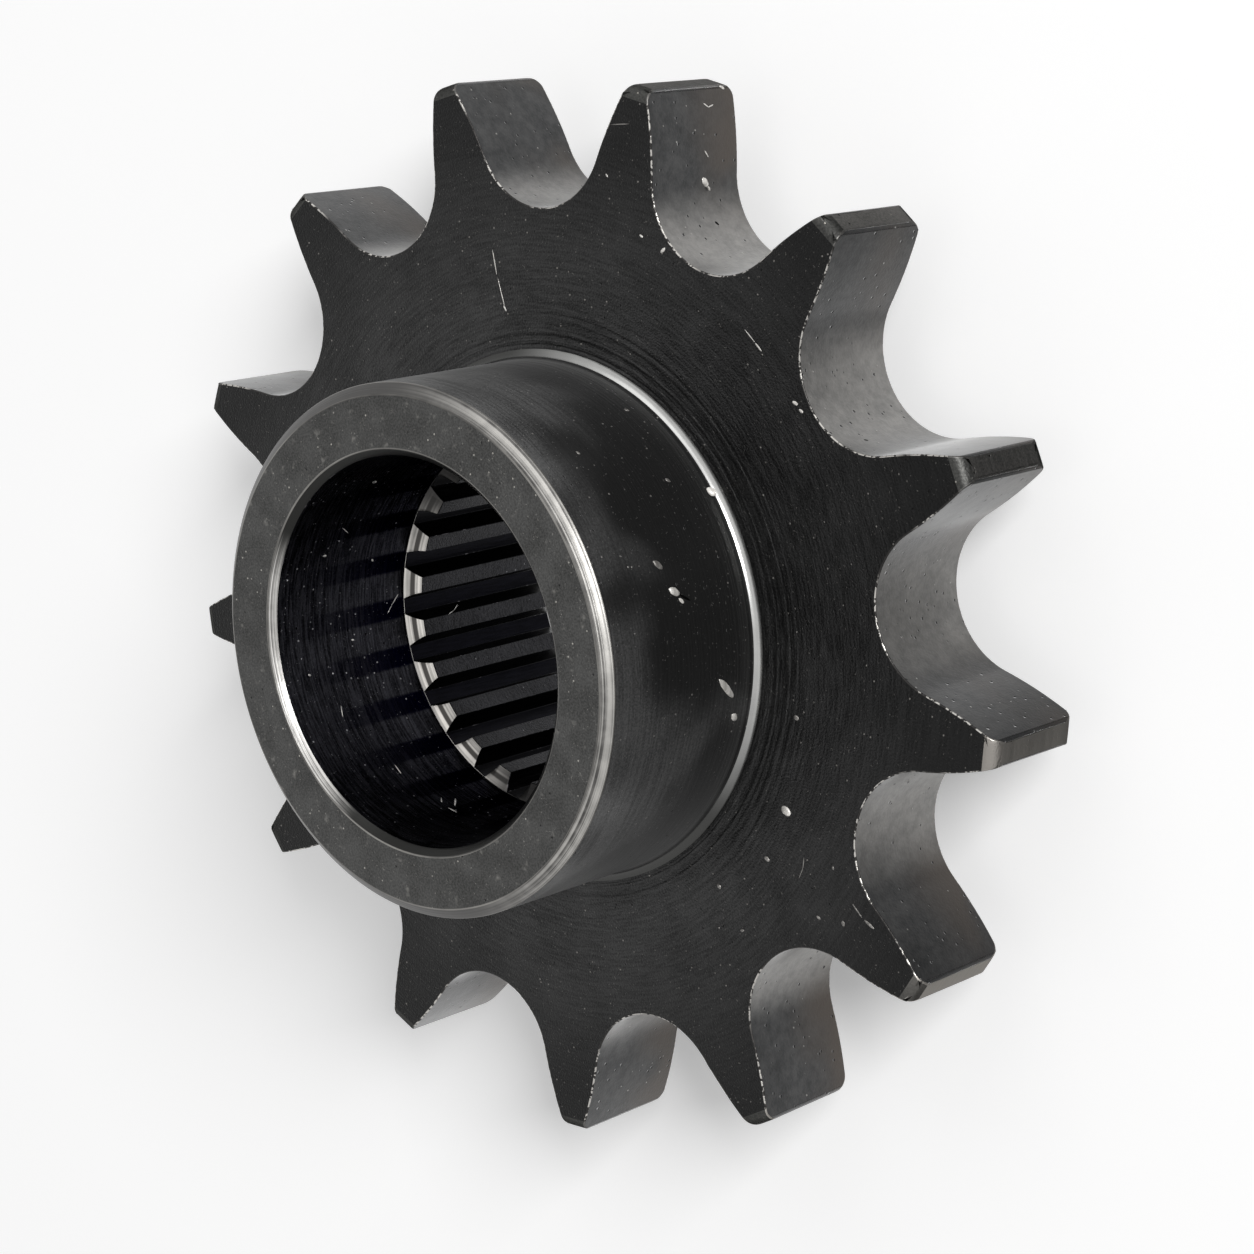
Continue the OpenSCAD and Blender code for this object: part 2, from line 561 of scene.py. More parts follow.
@dataclass(frozen=True)
class HobbedOxide:
    """Black oxide over hobbed tooth flanks.

    To the eye it is a smooth grey satin, finely mottled, paler in the seats, where a painted highlight lies,
    and warmer towards the back, with a few dark pits and pale chips.
    """

    name: str
    dark: str
    light: str
    warm: str
    # The seats' paler tones are a painted highlight for the light that the hollow seats catch
    seat_dark: str
    seat: str
    pit: str
    chip: str
    roughness: float
    metallic: float
    sheen: float = 0.5
    sheen_roughness: float = 0.4
    seat_start_mm: float = 22.1
    seat_end_mm: float = 24.6
    warm_start_mm: float = 3.0
    warm_end_mm: float = 8.0
    warmth: Patches = Patches(5.0, 0.3, 0.6, 1.0)
    mottle: Patches = Patches(1.6, 0.3, 0.72, 4.0)
    mottle_depth_mm: float = 0.008
    # As on the turned surfaces, the grain is drawn coarser than it is, so that it shows
    grain: Patches = Patches(0.14)
    grain_share: float = 0.3
    grain_depth_mm: float = 0.003
    blotch: Patches = Patches(0.45, detail=3.0)
    blotch_share: float = 0.4
    pits: Specks = Specks(0.6, 0.19, 2.0, 0.42)
    pit_depth_mm: float = 0.03
    chips: Specks = Specks(0.7, 0.13, 3.1, 0.48)
    chip_height_mm: float = 0.02
    smoother: float = 0.03
    rougher: float = 0.04

    def material(self) -> bpy.types.Material:
        """Builds the material.

        Returns:
            The finished material.
        """
        s = Surface(self.name)
        mottle = s.patches(self.mottle)
        grain = s.patches(self.grain)
        tone = s.add("Mix", {"Factor": self.grain_share, "A": mottle, "B": grain})
        tone = s.add("Mix", {"Factor": self.blotch_share, "A": tone, "B": s.patches(self.blotch)})
        behind = s.add("MapRange", {"Value": s.height(), "From Min": self.warm_end_mm * MM,
                                    "From Max": self.warm_start_mm * MM}, **GENTLE)
        warm = s.add("Math", {0: s.patches(self.warmth), 1: behind}, operation="MULTIPLY")
        # Paler in the seats: a painted highlight
        in_seat = s.add("MapRange", {"Value": s.radius(), "From Min": self.seat_end_mm * MM,
                                     "From Max": self.seat_start_mm * MM}, **GENTLE)
        pits = s.specks(self.pits)
        chips = s.specks(self.chips)
        base = s.coats(self.dark, [(tone, self.light), (warm, self.warm),
                                   (in_seat, s.coats(self.seat_dark, [(tone, self.seat)])),
                                   (pits, self.pit), (chips, self.chip)])
        rough = s.add("MapRange", {"Value": mottle, "To Min": self.roughness - self.smoother,
                                   "To Max": self.roughness + self.rougher})
        normal = s.relief([(grain, self.grain_depth_mm), (mottle, self.mottle_depth_mm),
                           (pits, -self.pit_depth_mm), (chips, self.chip_height_mm)])
        return s.finish({"Base Color": base, "Metallic": self.metallic, "Roughness": rough, "Normal": normal,
                         "Sheen Weight": self.sheen, "Sheen Roughness": self.sheen_roughness})


@dataclass(frozen=True)
class RubbedSteel:
    """Steel where the oxide has come off.

    To the eye it is bright satin metal with a few fine parallel streaks that run round the part. Where a lit
    stretch is given, the bright metal there is a painted highlight, and the rest keeps the oxide's dark tone.
    """

    name: str
    dark: str
    light: str
    roughness: float
    # Rubbing leaves finer streaks than these, which are drawn wide enough to show
    streaks: Streaks = Streaks(12.0, 0.12, 0.3, 0.7)
    streak_depth_mm: float = 0.004
    patches: Patches = Patches(0.9, detail=3.0)
    patch_share: float = 0.15
    patch_depth_mm: float = 0.003
    metallic: float = 1.0
    # Where given, the bright metal shows only on this stretch, as a painted highlight, and the rest takes the
    # oxide tone
    lit_stretch: Stretch | None = None
    oxide: str = "#454544"

    def own_coats(self, s: Surface) -> list[tuple]:
        """Gives the coats that only this finish has. A plain one has none."""
        return []

    def material(self) -> bpy.types.Material:
        """Builds the material.

        Returns:
            The finished material.
        """
        s = Surface(self.name)
        streaks = s.streaks(self.streaks)
        patches = s.patches(self.patches)
        tone = s.add("Mix", {"Factor": self.patch_share, "A": streaks, "B": patches})
        base = s.coats(self.dark, [(tone, self.light), *self.own_coats(s)])
        # Paints the highlight: bright metal on the lit stretch, the darker oxide tone round the rest
        if self.lit_stretch:
            base = s.coats(self.oxide, [(s.stretch(self.lit_stretch), base)])
        normal = s.relief([(streaks, self.streak_depth_mm), (patches, self.patch_depth_mm)])
        return s.finish({"Base Color": base, "Metallic": self.metallic, "Roughness": self.roughness,
                         "Normal": normal})


@dataclass(frozen=True)
class LitCone(RubbedSteel):
    """The cone that leads into the splines.

    To the eye both of its edges are bright, with a darker line between them, on the stretch that takes a
    painted highlight.
    """

    core: str = "#4c4a48"
    core_radius_mm: float = 9.84
    core_width_mm: float = 0.34

    def own_coats(self, s: Surface) -> list[tuple]:
        """Gives the darker line halfway down the cone.

        Args:
            s: Node tree of the material.

        Returns:
            For each coat, how far it covers and its colour.
        """
        away = s.add("Math", {0: s.radius(), 1: self.core_radius_mm * MM}, operation="SUBTRACT")
        away = s.add("Math", {0: away}, operation="ABSOLUTE")
        inside = s.add("MapRange", {"Value": away, "From Min": self.core_width_mm * MM / 2,
                                    "From Max": self.core_width_mm * MM / 4}, **GENTLE)
        return [(inside, self.core)]


@dataclass(frozen=True)
class BrokenEdge:
    """An edge broken by tumbling.

    To the eye it is a dark line that turns into a row of bright beads of bare steel for a stretch, and back.
    """

    name: str
    dark: str
    bright: str
    beads: Patches
    stretches: Patches
    roughness: float = 0.34
    bead_height_mm: float = 0.008

    def material(self) -> bpy.types.Material:
        """Builds the material.

        Returns:
            The finished material.
        """
        s = Surface(self.name)
        beads = s.patches(self.beads)
        bare = s.add("Math", {0: beads, 1: s.patches(self.stretches)}, operation="MULTIPLY")
        base = s.coats(self.dark, [(bare, self.bright)])
        return s.finish({"Base Color": base, "Metallic": 1.0, "Roughness": self.roughness,
                         "Normal": s.relief([(beads, self.bead_height_mm)])})


@dataclass(frozen=True)
class BroachedOxide:
    """Black oxide in the bore.

    To the eye it is near black with a blue tinge, and faint streaks along the broach's travel.
    """

    name: str
    dark: str
    light: str
    roughness: float = 0.36
    # A broach leaves finer lines than these, which are drawn wide enough to show
    streak_width_mm: float = 0.125
    streak_length_mm: float = 1.43
    streak_depth_mm: float = 0.006

    def material(self) -> bpy.types.Material:
        """Builds the material.

        Returns:
            The finished material.
        """
        s = Surface(self.name)
        across = 1 / self.streak_width_mm
        along = s.add("VectorMath", {0: s.place, 1: (across, across, 1 / self.streak_length_mm)},
                      operation="MULTIPLY")
        streaks = s.patches(Patches(1.0, detail=3.0), along)
        return s.finish({"Base Color": s.coats(self.dark, [(streaks, self.light)]), "Metallic": 1.0,
                         "Roughness": self.roughness, "Normal": s.relief([(streaks, self.streak_depth_mm)])})


FINISHES = {
    Zone.DISC_FACE: FacedOxide(
        "turned_oxide_face", dark="#131313", light="#3f3f3f", speck="#7c7975", roughness=0.4, metallic=0.8,
        rings=Streaks(2.4, 0.13), ring_share=0.35, ring_depth_mm=0.004, grain_depth_mm=0.012,
        chips=Specks(0.6, 0.13, 2.5, 0.46)),
    # The pale seat tones paint the highlight that the seats catch
    Zone.FLANK: HobbedOxide(
        "hobbed_oxide_flank", dark="#2e2f30", light="#4f4f4f", warm="#504a45", seat_dark="#787775",
        seat="#9a9895", pit="#121212", chip="#8f8d88", roughness=0.36, metallic=0.9),
    # The lands' pale stretch round bearing -140 is a painted highlight
    Zone.TIP_LAND: LitTipOxide(
        "turned_oxide_land", dark="#525250", light="#757371", speck="#8a8680", roughness=0.42, metallic=0.9,
        rings=Streaks(6.0, 0.2), ring_share=0.1, ring_depth_mm=0.001, grain_depth_mm=0.004,
        edge_gloss="#a0a0a0"),
    # The chamfers' pale stretch round bearing -114 is a painted highlight
    Zone.TIP_CHAMFER: LitTipOxide(
        "turned_oxide_tip", dark="#323231", light="#525250", speck="#9a9690", roughness=0.45, metallic=0.9,
        rings=Streaks(6.0, 0.12), ring_share=0.2, ring_depth_mm=0.002, grain_depth_mm=0.006,
        edge_gloss="#909090", lit_tone="#8f8b86", lit_teeth=Stretch(-114.0, 5.0, 24.0)),
    # The fillet's bright steel is a painted highlight, brightest round bearing -74 and dark oxide elsewhere
    Zone.FILLET: RubbedSteel(
        "fillet_steel_painted_highlight", dark="#969695", light="#c2c2c0", roughness=0.25,
        streaks=Streaks(40.0, 0.3, 0.3, 0.7), lit_stretch=Stretch(-74.0, 32.0, 40.0)),
    # The hub's black foot is painted shade
    Zone.HUB_SIDE: FootedOxide(
        "turned_oxide_hub", dark="#333333", light="#747474", speck="#8d8a86", roughness=0.34, metallic=0.8,
        rings=Streaks(14.0, 0.14), ring_share=0.25, ring_depth_mm=0.004, grain_depth_mm=0.002,
        cloud=Patches(5.0, detail=4.0), sheen=0.1),
    # The chamfer's bright steel is a painted highlight round bearing -95; beyond it the chamfer keeps a
    # darker tone
    Zone.HUB_CHAMFER: RubbedSteel(
        "hub_chamfer_steel_painted_highlight", dark="#474645", light="#b2b0ac", roughness=0.42,
        streaks=Streaks(50.0, 0.16, 0.38, 0.62, lean=-1.0), patch_share=0.25,
        lit_stretch=Stretch(-95.0, 42.0, 45.0), oxide="#525150"),
    Zone.HUB_END: HandledOxide(
        "turned_oxide_end", dark="#333332", light="#585857", speck="#a5a29c", roughness=0.5, metallic=0.9,
        rings=Streaks(9.0, 0.25), ring_share=0.1, ring_depth_mm=0.002, grain_depth_mm=0.006,
        cloud=Patches(1.8, detail=4.0), chips=Specks(0.6, 0.13, 2.5, 0.44), pit="#222222"),
    # The mouth's bright steel is a painted highlight round bearing 92; beyond it the mouth stays dark
    Zone.MOUTH: RubbedSteel(
        "mouth_steel_painted_highlight", dark="#5b5a59", light="#e6e4e0", roughness=0.32,
        streaks=Streaks(40.0, 0.07, 0.3, 0.7), lit_stretch=Stretch(92.0, 28.0, 20.0), oxide="#2e2e2d"),
    # The blue-black bands are painted shade
    Zone.COUNTERBORE: BandedOxide(
        "turned_oxide_bore", dark="#0e0e10", light="#434348", speck="#a8a8ac", roughness=0.34, metallic=1.0,
        rings=Streaks(5.0, 0.12), ring_share=0.55, ring_depth_mm=0.012, grain_depth_mm=0.006,
        chips=Specks(0.6, 0.13, 2.5, 0.4), edge_gloss="#5c5c64"),
    # The cone's bright steel is a painted highlight round bearing 95; beyond it the cone stays dark
    Zone.LEAD_IN: LitCone(
        "lead_in_steel_painted_highlight", dark="#8a8885", light="#e6e2dc", roughness=0.3,
        streaks=Streaks(30.0, 0.2, 0.3, 0.7), lit_stretch=Stretch(95.0, 25.0, 35.0), oxide="#3c3b3a"),
    Zone.SPLINE_FLOOR: BroachedOxide("broached_oxide_floor", dark="#050509", light="#0c0c12"),
    Zone.SPLINE_LAND: TurnedOxide(
        "turned_oxide_spline", dark="#121214", light="#3b3b3e", speck="#77777a", roughness=0.4, metallic=0.9,
        rings=Streaks(3.0, 0.12), ring_share=0.35, ring_depth_mm=0.002, grain_depth_mm=0.01,
        chips=Specks(0.6, 0.13, 2.5, 0.4)),
    Zone.SPLINE_FLANK: BroachedOxide("broached_oxide_flank", dark="#060606", light="#101010"),
    Zone.BROKEN_EDGE: BrokenEdge(
        "broken_edge", dark="#383736", bright="#bdbab5", beads=Patches(0.22, 0.44, 0.54, 1.0),
        stretches=Patches(3.5, 0.4, 0.52, 1.0)),
    Zone.HUB_EDGE: RubbedSteel(
        "rubbed_steel_hub_edge", dark="#484746", light="#8f8d89", roughness=0.4,
        streaks=Streaks(20.0, 0.12, 0.3, 0.7)),
    Zone.BORE_EDGE: BrokenEdge(
        "bore_edge", dark="#151517", bright="#5f5d60", beads=Patches(0.3, 0.55, 0.65, 1.0),
        stretches=Patches(2.0, 0.55, 0.67, 1.0)),
}


def pick(piece: bpy.types.Object) -> None:
    """Selects one object alone and makes it the active one.

    Args:
        piece: Object to select.
    """
    bpy.ops.object.select_all(action="DESELECT")
    piece.select_set(True)
    bpy.context.view_layer.objects.active = piece


def arc(centre: Vector, radius: float, start: float, end: float, steps: int,
        squash: float = 1.0) -> list[Vector]:
    """Lists points along an arc of a circle or an upright oval in the plane.

    Args:
        centre: Middle of the arc.
        radius: Radius of the arc.
        start: Direction of its first point from the middle, in degrees.
        end: Direction of its last point.
        steps: Number of chords.
        squash: Height of the oval as a share of its width.

    Returns:
        The points, both ends among them.
    """
    turns = [math.radians(start + (end - start) * i / steps) for i in range(steps + 1)]
    return [centre + radius * Vector((math.cos(t), squash * math.sin(t))) for t in turns]


def bearing(step: Vector) -> float:
    """Gives the direction of a step in the plane, in degrees."""
    return math.degrees(math.atan2(step.y, step.x))


def draw_outline(name: str, points: list[Vector]) -> bpy.types.Object:
    """Draws a closed chain of edges by extruding one vertex from point to point.

    Args:
        name: Name of the new object.
        points: Corners in millimetres, in order.

    Returns:
        The new object, in edit mode with its whole outline selected.
    """
    bpy.ops.object.select_all(action="DESELECT")
    bpy.ops.mesh.primitive_plane_add(size=MM)
    outline = bpy.context.object
    outline.name = name
    bpy.ops.object.mode_set(mode="EDIT")
    bpy.ops.mesh.select_all(action="SELECT")
    bpy.ops.mesh.merge(type="CENTER")
    bpy.ops.transform.translate(value=points[0] * MM)
    for here, there in zip(points, points[1:] + points[:1]):
        bpy.ops.mesh.extrude_region_move(TRANSFORM_OT_translate={"value": (there - here) * MM})
    bpy.ops.mesh.select_all(action="SELECT")
    bpy.ops.mesh.remove_doubles(threshold=MERGE * MM)
    return outline


def turn_solid(name: str, section: list[Vector], steps: int) -> bpy.types.Object:
    """Turns a closed section round the axis.

    Args:
        name: Name of the new object.
        section: Radius and height of each corner of the section, in order.
        steps: Number of facets round the axis.

    Returns:
        The turned solid.
    """
    solid = draw_outline(name, [Vector((p.x, 0.0, p.y)) for p in section])
    bpy.ops.mesh.spin(steps=steps, angle=math.tau, center=(0, 0, 0), axis=(0, 0, 1))
    bpy.ops.mesh.select_all(action="SELECT")
    bpy.ops.mesh.remove_doubles(threshold=MERGE * MM)
    bpy.ops.mesh.normals_make_consistent(inside=False)
    bpy.ops.object.mode_set(mode="OBJECT")
    return solid


def cutter_ring(name: str, outline: list[Vector], low: float, high: float, count: int) -> bpy.types.Object:
    """Makes one straight cutter and copies it round the axis.

    Args:
        name: Name of the new object.
        outline: Outline of one cutter, in order.
        low: Height of the cutters' lower ends.
        high: Height of their upper ends.
        count: Number of cutters.

    Returns:
        One object that holds all the cutters.
    """
    ring = draw_outline(name, [Vector((p.x, p.y, low)) for p in outline])
    bpy.ops.mesh.edge_face_add()
    bpy.ops.mesh.extrude_region_move(TRANSFORM_OT_translate={"value": (0, 0, (high - low) * MM)})
    bpy.ops.mesh.select_all(action="SELECT")
    bpy.ops.mesh.spin(steps=count - 1, dupli=True, angle=math.tau * (count - 1) / count, center=(0, 0, 0),
                      axis=(0, 0, 1))
    bpy.ops.mesh.select_all(action="SELECT")
    bpy.ops.mesh.normals_make_consistent(inside=False)
    bpy.ops.object.mode_set(mode="OBJECT")
    return ring


def cut_away(piece: bpy.types.Object, cutter: bpy.types.Object) -> None:
    """Takes a cutter's solid off a piece, and deletes the cutter.

    Args:
        piece: Solid that is cut.
        cutter: Solid whose room is taken off it.
    """
    pick(piece)
    cut = piece.modifiers.new("cut", "BOOLEAN")
    cut.operation = "DIFFERENCE"
    cut.solver = "EXACT"
    cut.object = cutter
    bpy.ops.object.modifier_apply(modifier=cut.name)
    bpy.data.objects.remove(cutter)


def turned(point: Vector, degrees: float) -> Vector:
    """Turns a point in the plane round the axis.

    Args:
        point: Place of the point.
        degrees: Angle of the turn.

    Returns:
        The turned point.
    """
    angle = math.radians(degrees)
    return Vector((point.x * math.cos(angle) - point.y * math.sin(angle),
                   point.x * math.sin(angle) + point.y * math.cos(angle)))


@dataclass(frozen=True)
class ChainTeeth:
    """Form of the hobbed teeth for the chain: round seats between convex flanks, with rounded tip corners."""

    count: int = 13
    pitch_radius: float = 26.535
    seat_radius: float = 4.445
    half_seat: float = 65.0
    flank_radius: float = 23.0
    tip_radius: float = TIP_RADIUS
    corner_radius: float = 0.3
    corner_lap: float = 0.004
    seat_steps: int = 24
    flank_steps: int = 10
    corner_steps: int = 8
    overrun: float = 1.0

    def gap_side(self) -> list[Vector]:
        """Lists points up one side of a gap on +X, from the bottom of its seat out past the tips.

        Returns:
            The points, in order.
        """
        seat = Vector((self.pitch_radius, 0.0))
        seat_end = 180.0 - self.half_seat
        reach = self.seat_radius + self.flank_radius
        flank = seat + reach * Vector((math.cos(math.radians(seat_end)), math.sin(math.radians(seat_end))))
        from_axis = self.tip_radius - self.corner_radius + self.corner_lap
        from_flank = self.flank_radius - self.corner_radius
        along = (from_axis ** 2 - from_flank ** 2 + flank.length_squared) / (2 * flank.length)
        aside = math.sqrt(from_axis ** 2 - along ** 2)
        corner = flank.normalized() * along + Vector((flank.y, -flank.x)).normalized() * aside
        flank_end = bearing(corner - flank)
        points = arc(seat, self.seat_radius, 180.0, seat_end, self.seat_steps)
        points += arc(flank, self.flank_radius, seat_end - 180.0, flank_end, self.flank_steps)[1:]
        points += arc(corner, self.corner_radius, flank_end, bearing(corner), self.corner_steps)[1:]
        return points + [points[-1].normalized() * (self.tip_radius + self.overrun)]

    def gap(self) -> list[Vector]:
        """Lists the outline of the gap next to the tooth on +X.

        Returns:
            Corners of the outline, in order.
        """
        side = self.gap_side()
        mirrored = [Vector((p.x, -p.y)) for p in side[:0:-1]]
        return [turned(p, 180.0 / self.count) for p in mirrored + side]


@dataclass(frozen=True)
class Splines:
    """Form of the broached internal splines, whose spaces have involute flanks."""

    count: int = 24
    pitch_radius: float = 9.78
    pressure_angle: float = 22.5
    minor_radius: float = 9.32
    major_radius: float = 10.26
    phase: float = 10.3
    steps: int = 6

    def half_space(self, radius: float) -> float:
        """Gives half the angle in degrees that a spline space takes up at a radius.

        Args:
            radius: Distance from the axis.

        Returns:
            Half the angle.
        """
        base = self.pitch_radius * math.cos(math.radians(self.pressure_angle))
        at_pitch = math.tan(math.radians(self.pressure_angle)) - math.radians(self.pressure_angle)
        slope = math.acos(base / radius)
        return 90.0 / self.count + math.degrees(at_pitch - (math.tan(slope) - slope))

    def space(self) -> list[Vector]:
        """Lists the outline of the spline space next to the spline at the phase.

        Returns:
            Corners of the outline, in order.
        """
        inner = (self.pitch_radius * math.cos(math.radians(self.pressure_angle)) + self.minor_radius) / 2
        radii = [inner + (self.major_radius - inner) * i / self.steps for i in range(self.steps + 1)]
        side = [turned(Vector((r, 0.0)), self.half_space(r)) for r in reversed(radii)]
        other = [Vector((p.x, -p.y)) for p in reversed(side)]
        return [turned(p, self.phase + 180.0 / self.count) for p in other + side]


@dataclass
class Sprocket:
    """The sprocket's one piece: turned blank, hobbed teeth, broached bore and broken edges."""

    teeth: ChainTeeth = ChainTeeth()
    splines: Splines = Splines()
    disc_back: float = 3.0
    disc_front: float = 9.8
    hub_top: float = 21.0
    hub_radius: float = 14.1
    boss_chamfer: float = 0.5
    hub_fillet: float = 0.5
    fillet_steps: int = 8
    hub_chamfer_in: float = 0.6
    hub_chamfer_down: float = 0.5
    tip_round: float = 0.66
    tip_squash: float = 1.2
    tip_steps: int = 10
    bore_radius: float = 10.32
    mouth_chamfer: float = 0.4
    lead_in_top: float = 11.2
    lead_in_length: float = 0.5
    round_steps: int = 360
    overrun: float = 1.0
    slack: float = 0.03
    bright_foot: float = 0.1
    land_depth: float = 0.1
    # Shares of a face's normal that tell the machined surfaces apart: along the axis
    flat_share: float = 0.999
    tip_slope_share: float = 0.1
    bore_slope_share: float = 0.2
    # And straight out from the axis, or straight in
    wall_share: float = 0.99
    land_share: float = 0.98
    bore_wall_share: float = 0.97
    edge_break: float = 0.1
    break_steps: int = 3
    # Shares of the full break that each kind of edge gets
    bore_break: float = 0.3
    hub_break: float = 0.5
    tooth_break: float = 0.7
    tip_break: float = 1.0
    face_weight: int = 100

    def section(self) -> list[Vector]:
        """Lists the turned section, from the bore's rear cone round the outside and back down the bore.

        Returns:
            Radius and height of each corner, in order.
        """
        foot = self.hub_radius + self.hub_fillet
        tip = self.teeth.tip_radius
        rise = self.tip_round * self.tip_squash
        corners = [
            (self.bore_radius, 0.0),
            (self.hub_radius - self.boss_chamfer, 0.0),
            (self.hub_radius, self.boss_chamfer),
            *arc(Vector((foot, self.disc_back - self.hub_fillet)), self.hub_fillet, 180, 90,
                 self.fillet_steps),
            *arc(Vector((tip - self.tip_round, self.disc_back + rise)), self.tip_round, 270, 360,
                 self.tip_steps, self.tip_squash),
            *arc(Vector((tip - self.tip_round, self.disc_front - rise)), self.tip_round, 0, 90,
                 self.tip_steps, self.tip_squash),
            *arc(Vector((foot, self.disc_front + self.hub_fillet)), self.hub_fillet, 270, 180,
                 self.fillet_steps),
            (self.hub_radius, self.hub_top - self.hub_chamfer_down),
            (self.hub_radius - self.hub_chamfer_in, self.hub_top),
            (self.bore_radius + self.mouth_chamfer, self.hub_top),
            (self.bore_radius, self.hub_top - self.mouth_chamfer),
            (self.bore_radius, self.lead_in_top),
            (self.splines.minor_radius, self.lead_in_top - self.lead_in_length),
            (self.splines.minor_radius, self.lead_in_length),
        ]
        return [Vector(c) for c in corners]

    def machine(self) -> bpy.types.Object:
        """Turns the blank, cuts the gaps between its teeth and broaches its splines.

        Returns:
            The machined solid, with flat areas as single faces.
        """
        piece = turn_solid("dressed_sprocket", self.section(), self.round_steps)
        cut_away(piece, cutter_ring("hob", self.teeth.gap(), self.disc_back - self.overrun,
                                    self.disc_front + self.overrun, self.teeth.count))
        cut_away(piece, cutter_ring("broach", self.splines.space(), -self.overrun,
                                    self.lead_in_top + self.overrun, self.splines.count))
        self.seam_gaps(piece)
        bpy.ops.object.mode_set(mode="EDIT")
        bpy.ops.mesh.select_all(action="SELECT")
        bpy.ops.mesh.remove_doubles(threshold=MERGE * MM)
        bpy.ops.mesh.dissolve_limited(angle_limit=math.radians(FLAT_DEGREES), delimit={"SEAM"})
        bpy.ops.object.mode_set(mode="OBJECT")
        return piece

    def seam_gaps(self, piece: bpy.types.Object) -> None:
        """Marks one radial seam through each gap on the flat faces, so that no face wraps round the bore.

        Args:
            piece: The machined solid.
        """
        pick(piece)
        bpy.ops.object.mode_set(mode="EDIT")
        bpy.ops.mesh.select_all(action="DESELECT")
        bpy.ops.object.mode_set(mode="OBJECT")
        step = 360.0 / self.teeth.count
        lines = {round((i + 0.5) * step * self.round_steps / 360.0) % self.round_steps
                 for i in range(self.teeth.count)}
        points = piece.data.vertices
        for edge in piece.data.edges:
            one, two = (points[i].co for i in edge.vertices)
            turn = bearing(one.xy) * self.round_steps / 360.0 % self.round_steps
            flat = abs(one.z - two.z) < MERGE * MM and abs(bearing(one.xy) - bearing(two.xy)) < FLAT_DEGREES
            edge.select = flat and abs(turn - round(turn)) < FLAT_DEGREES and round(turn) in lines
        bpy.ops.object.mode_set(mode="EDIT")
        bpy.ops.mesh.mark_seam(clear=False)

    def zone_at(self, centre: Vector, normal: Vector) -> Zone:
        """Names the machined surface that a face belongs to.

        Args:
            centre: The face's middle in millimetres.
            normal: The face's outward normal.

        Returns:
            The face's zone.
        """
        if abs(normal.z) > self.flat_share:
            on_disc = self.disc_back - self.slack < centre.z < self.disc_front + self.slack
            return Zone.DISC_FACE if on_disc else Zone.HUB_END
        radius = math.hypot(centre.x, centre.y)
        out = (normal.x * centre.x + normal.y * centre.y) / radius
        if radius > self.hub_radius + self.hub_fillet + self.slack:
            return self.disc_zone_at(radius, abs(normal.z), out)
        near_disc = self.disc_back - self.hub_fillet < centre.z < self.disc_front + self.hub_fillet
        if near_disc and radius > self.hub_radius + self.bright_foot:
            return Zone.FILLET
        if near_disc and radius > self.hub_radius:
            return Zone.HUB_SIDE
        if out > self.wall_share:
            return Zone.HUB_SIDE
        if out > 0:
            return Zone.HUB_CHAMFER
        return self.bore_zone_at(centre, normal, radius, out)

    def disc_zone_at(self, radius: float, upright: float, out: float) -> Zone:
        """Names the surface of the toothed disc that a face belongs to.

        Args:
            radius: Distance of the face's middle from the axis.
            upright: Size of the normal's share along the axis.
            out: Share of the normal that points away from the axis.

        Returns:
            The face's zone.
        """
        if upright > self.tip_slope_share:
            return Zone.TIP_CHAMFER
        at_tip = radius > self.teeth.tip_radius - self.land_depth
        return Zone.TIP_LAND if at_tip and out > self.land_share else Zone.FLANK

    def bore_zone_at(self, centre: Vector, normal: Vector, radius: float, out: float) -> Zone:
        """Names the surface inside the bore that a face belongs to.

        Args:
            centre: The face's middle in millimetres.
            normal: The face's outward normal.
            radius: Distance of the face's middle from the axis.
            out: Share of the normal that points away from the axis.

        Returns:
            The face's zone.
        """
        if abs(normal.z) > self.bore_slope_share:
            return Zone.MOUTH if centre.z > self.hub_top - self.mouth_chamfer else Zone.LEAD_IN
        if out > -self.bore_wall_share:
            return Zone.SPLINE_FLANK
        if centre.z > self.lead_in_top - self.slack:
            return Zone.COUNTERBORE
        return Zone.SPLINE_LAND if radius < self.splines.minor_radius + self.slack else Zone.SPLINE_FLOOR

    def sort_faces(self, piece: bpy.types.Object) -> None:
        """Gives each face the material slot of its zone.

        Args:
            piece: The dressed sprocket.
        """
        mesh = piece.data
        mesh.materials.clear()
        for zone in Zone:
            mesh.materials.append(FINISHES[zone].material())
        for face in mesh.polygons:
            face.material_index = self.zone_at(face.center / MM, face.normal).value

    def weigh_edges(self, piece: bpy.types.Object) -> None:
        """Marks each sharp edge with how far it is broken.

        Args:
            piece: The dressed sprocket, sorted into zones.
        """
        mesh = piece.data
        neighbours: dict[tuple[int, int], list[bpy.types.MeshPolygon]] = {}
        for face in mesh.polygons:
            for key in face.edge_keys:
                neighbours.setdefault(key, []).append(face)
        layer = mesh.attributes.new(WEIGHTS, "FLOAT", "EDGE")
        for edge in mesh.edges:
            faces = neighbours[edge.key]
            if len(faces) == 2 and faces[0].normal.angle(faces[1].normal) > math.radians(SHARP_DEGREES):
                layer.data[edge.index].value = self.edge_share(faces)

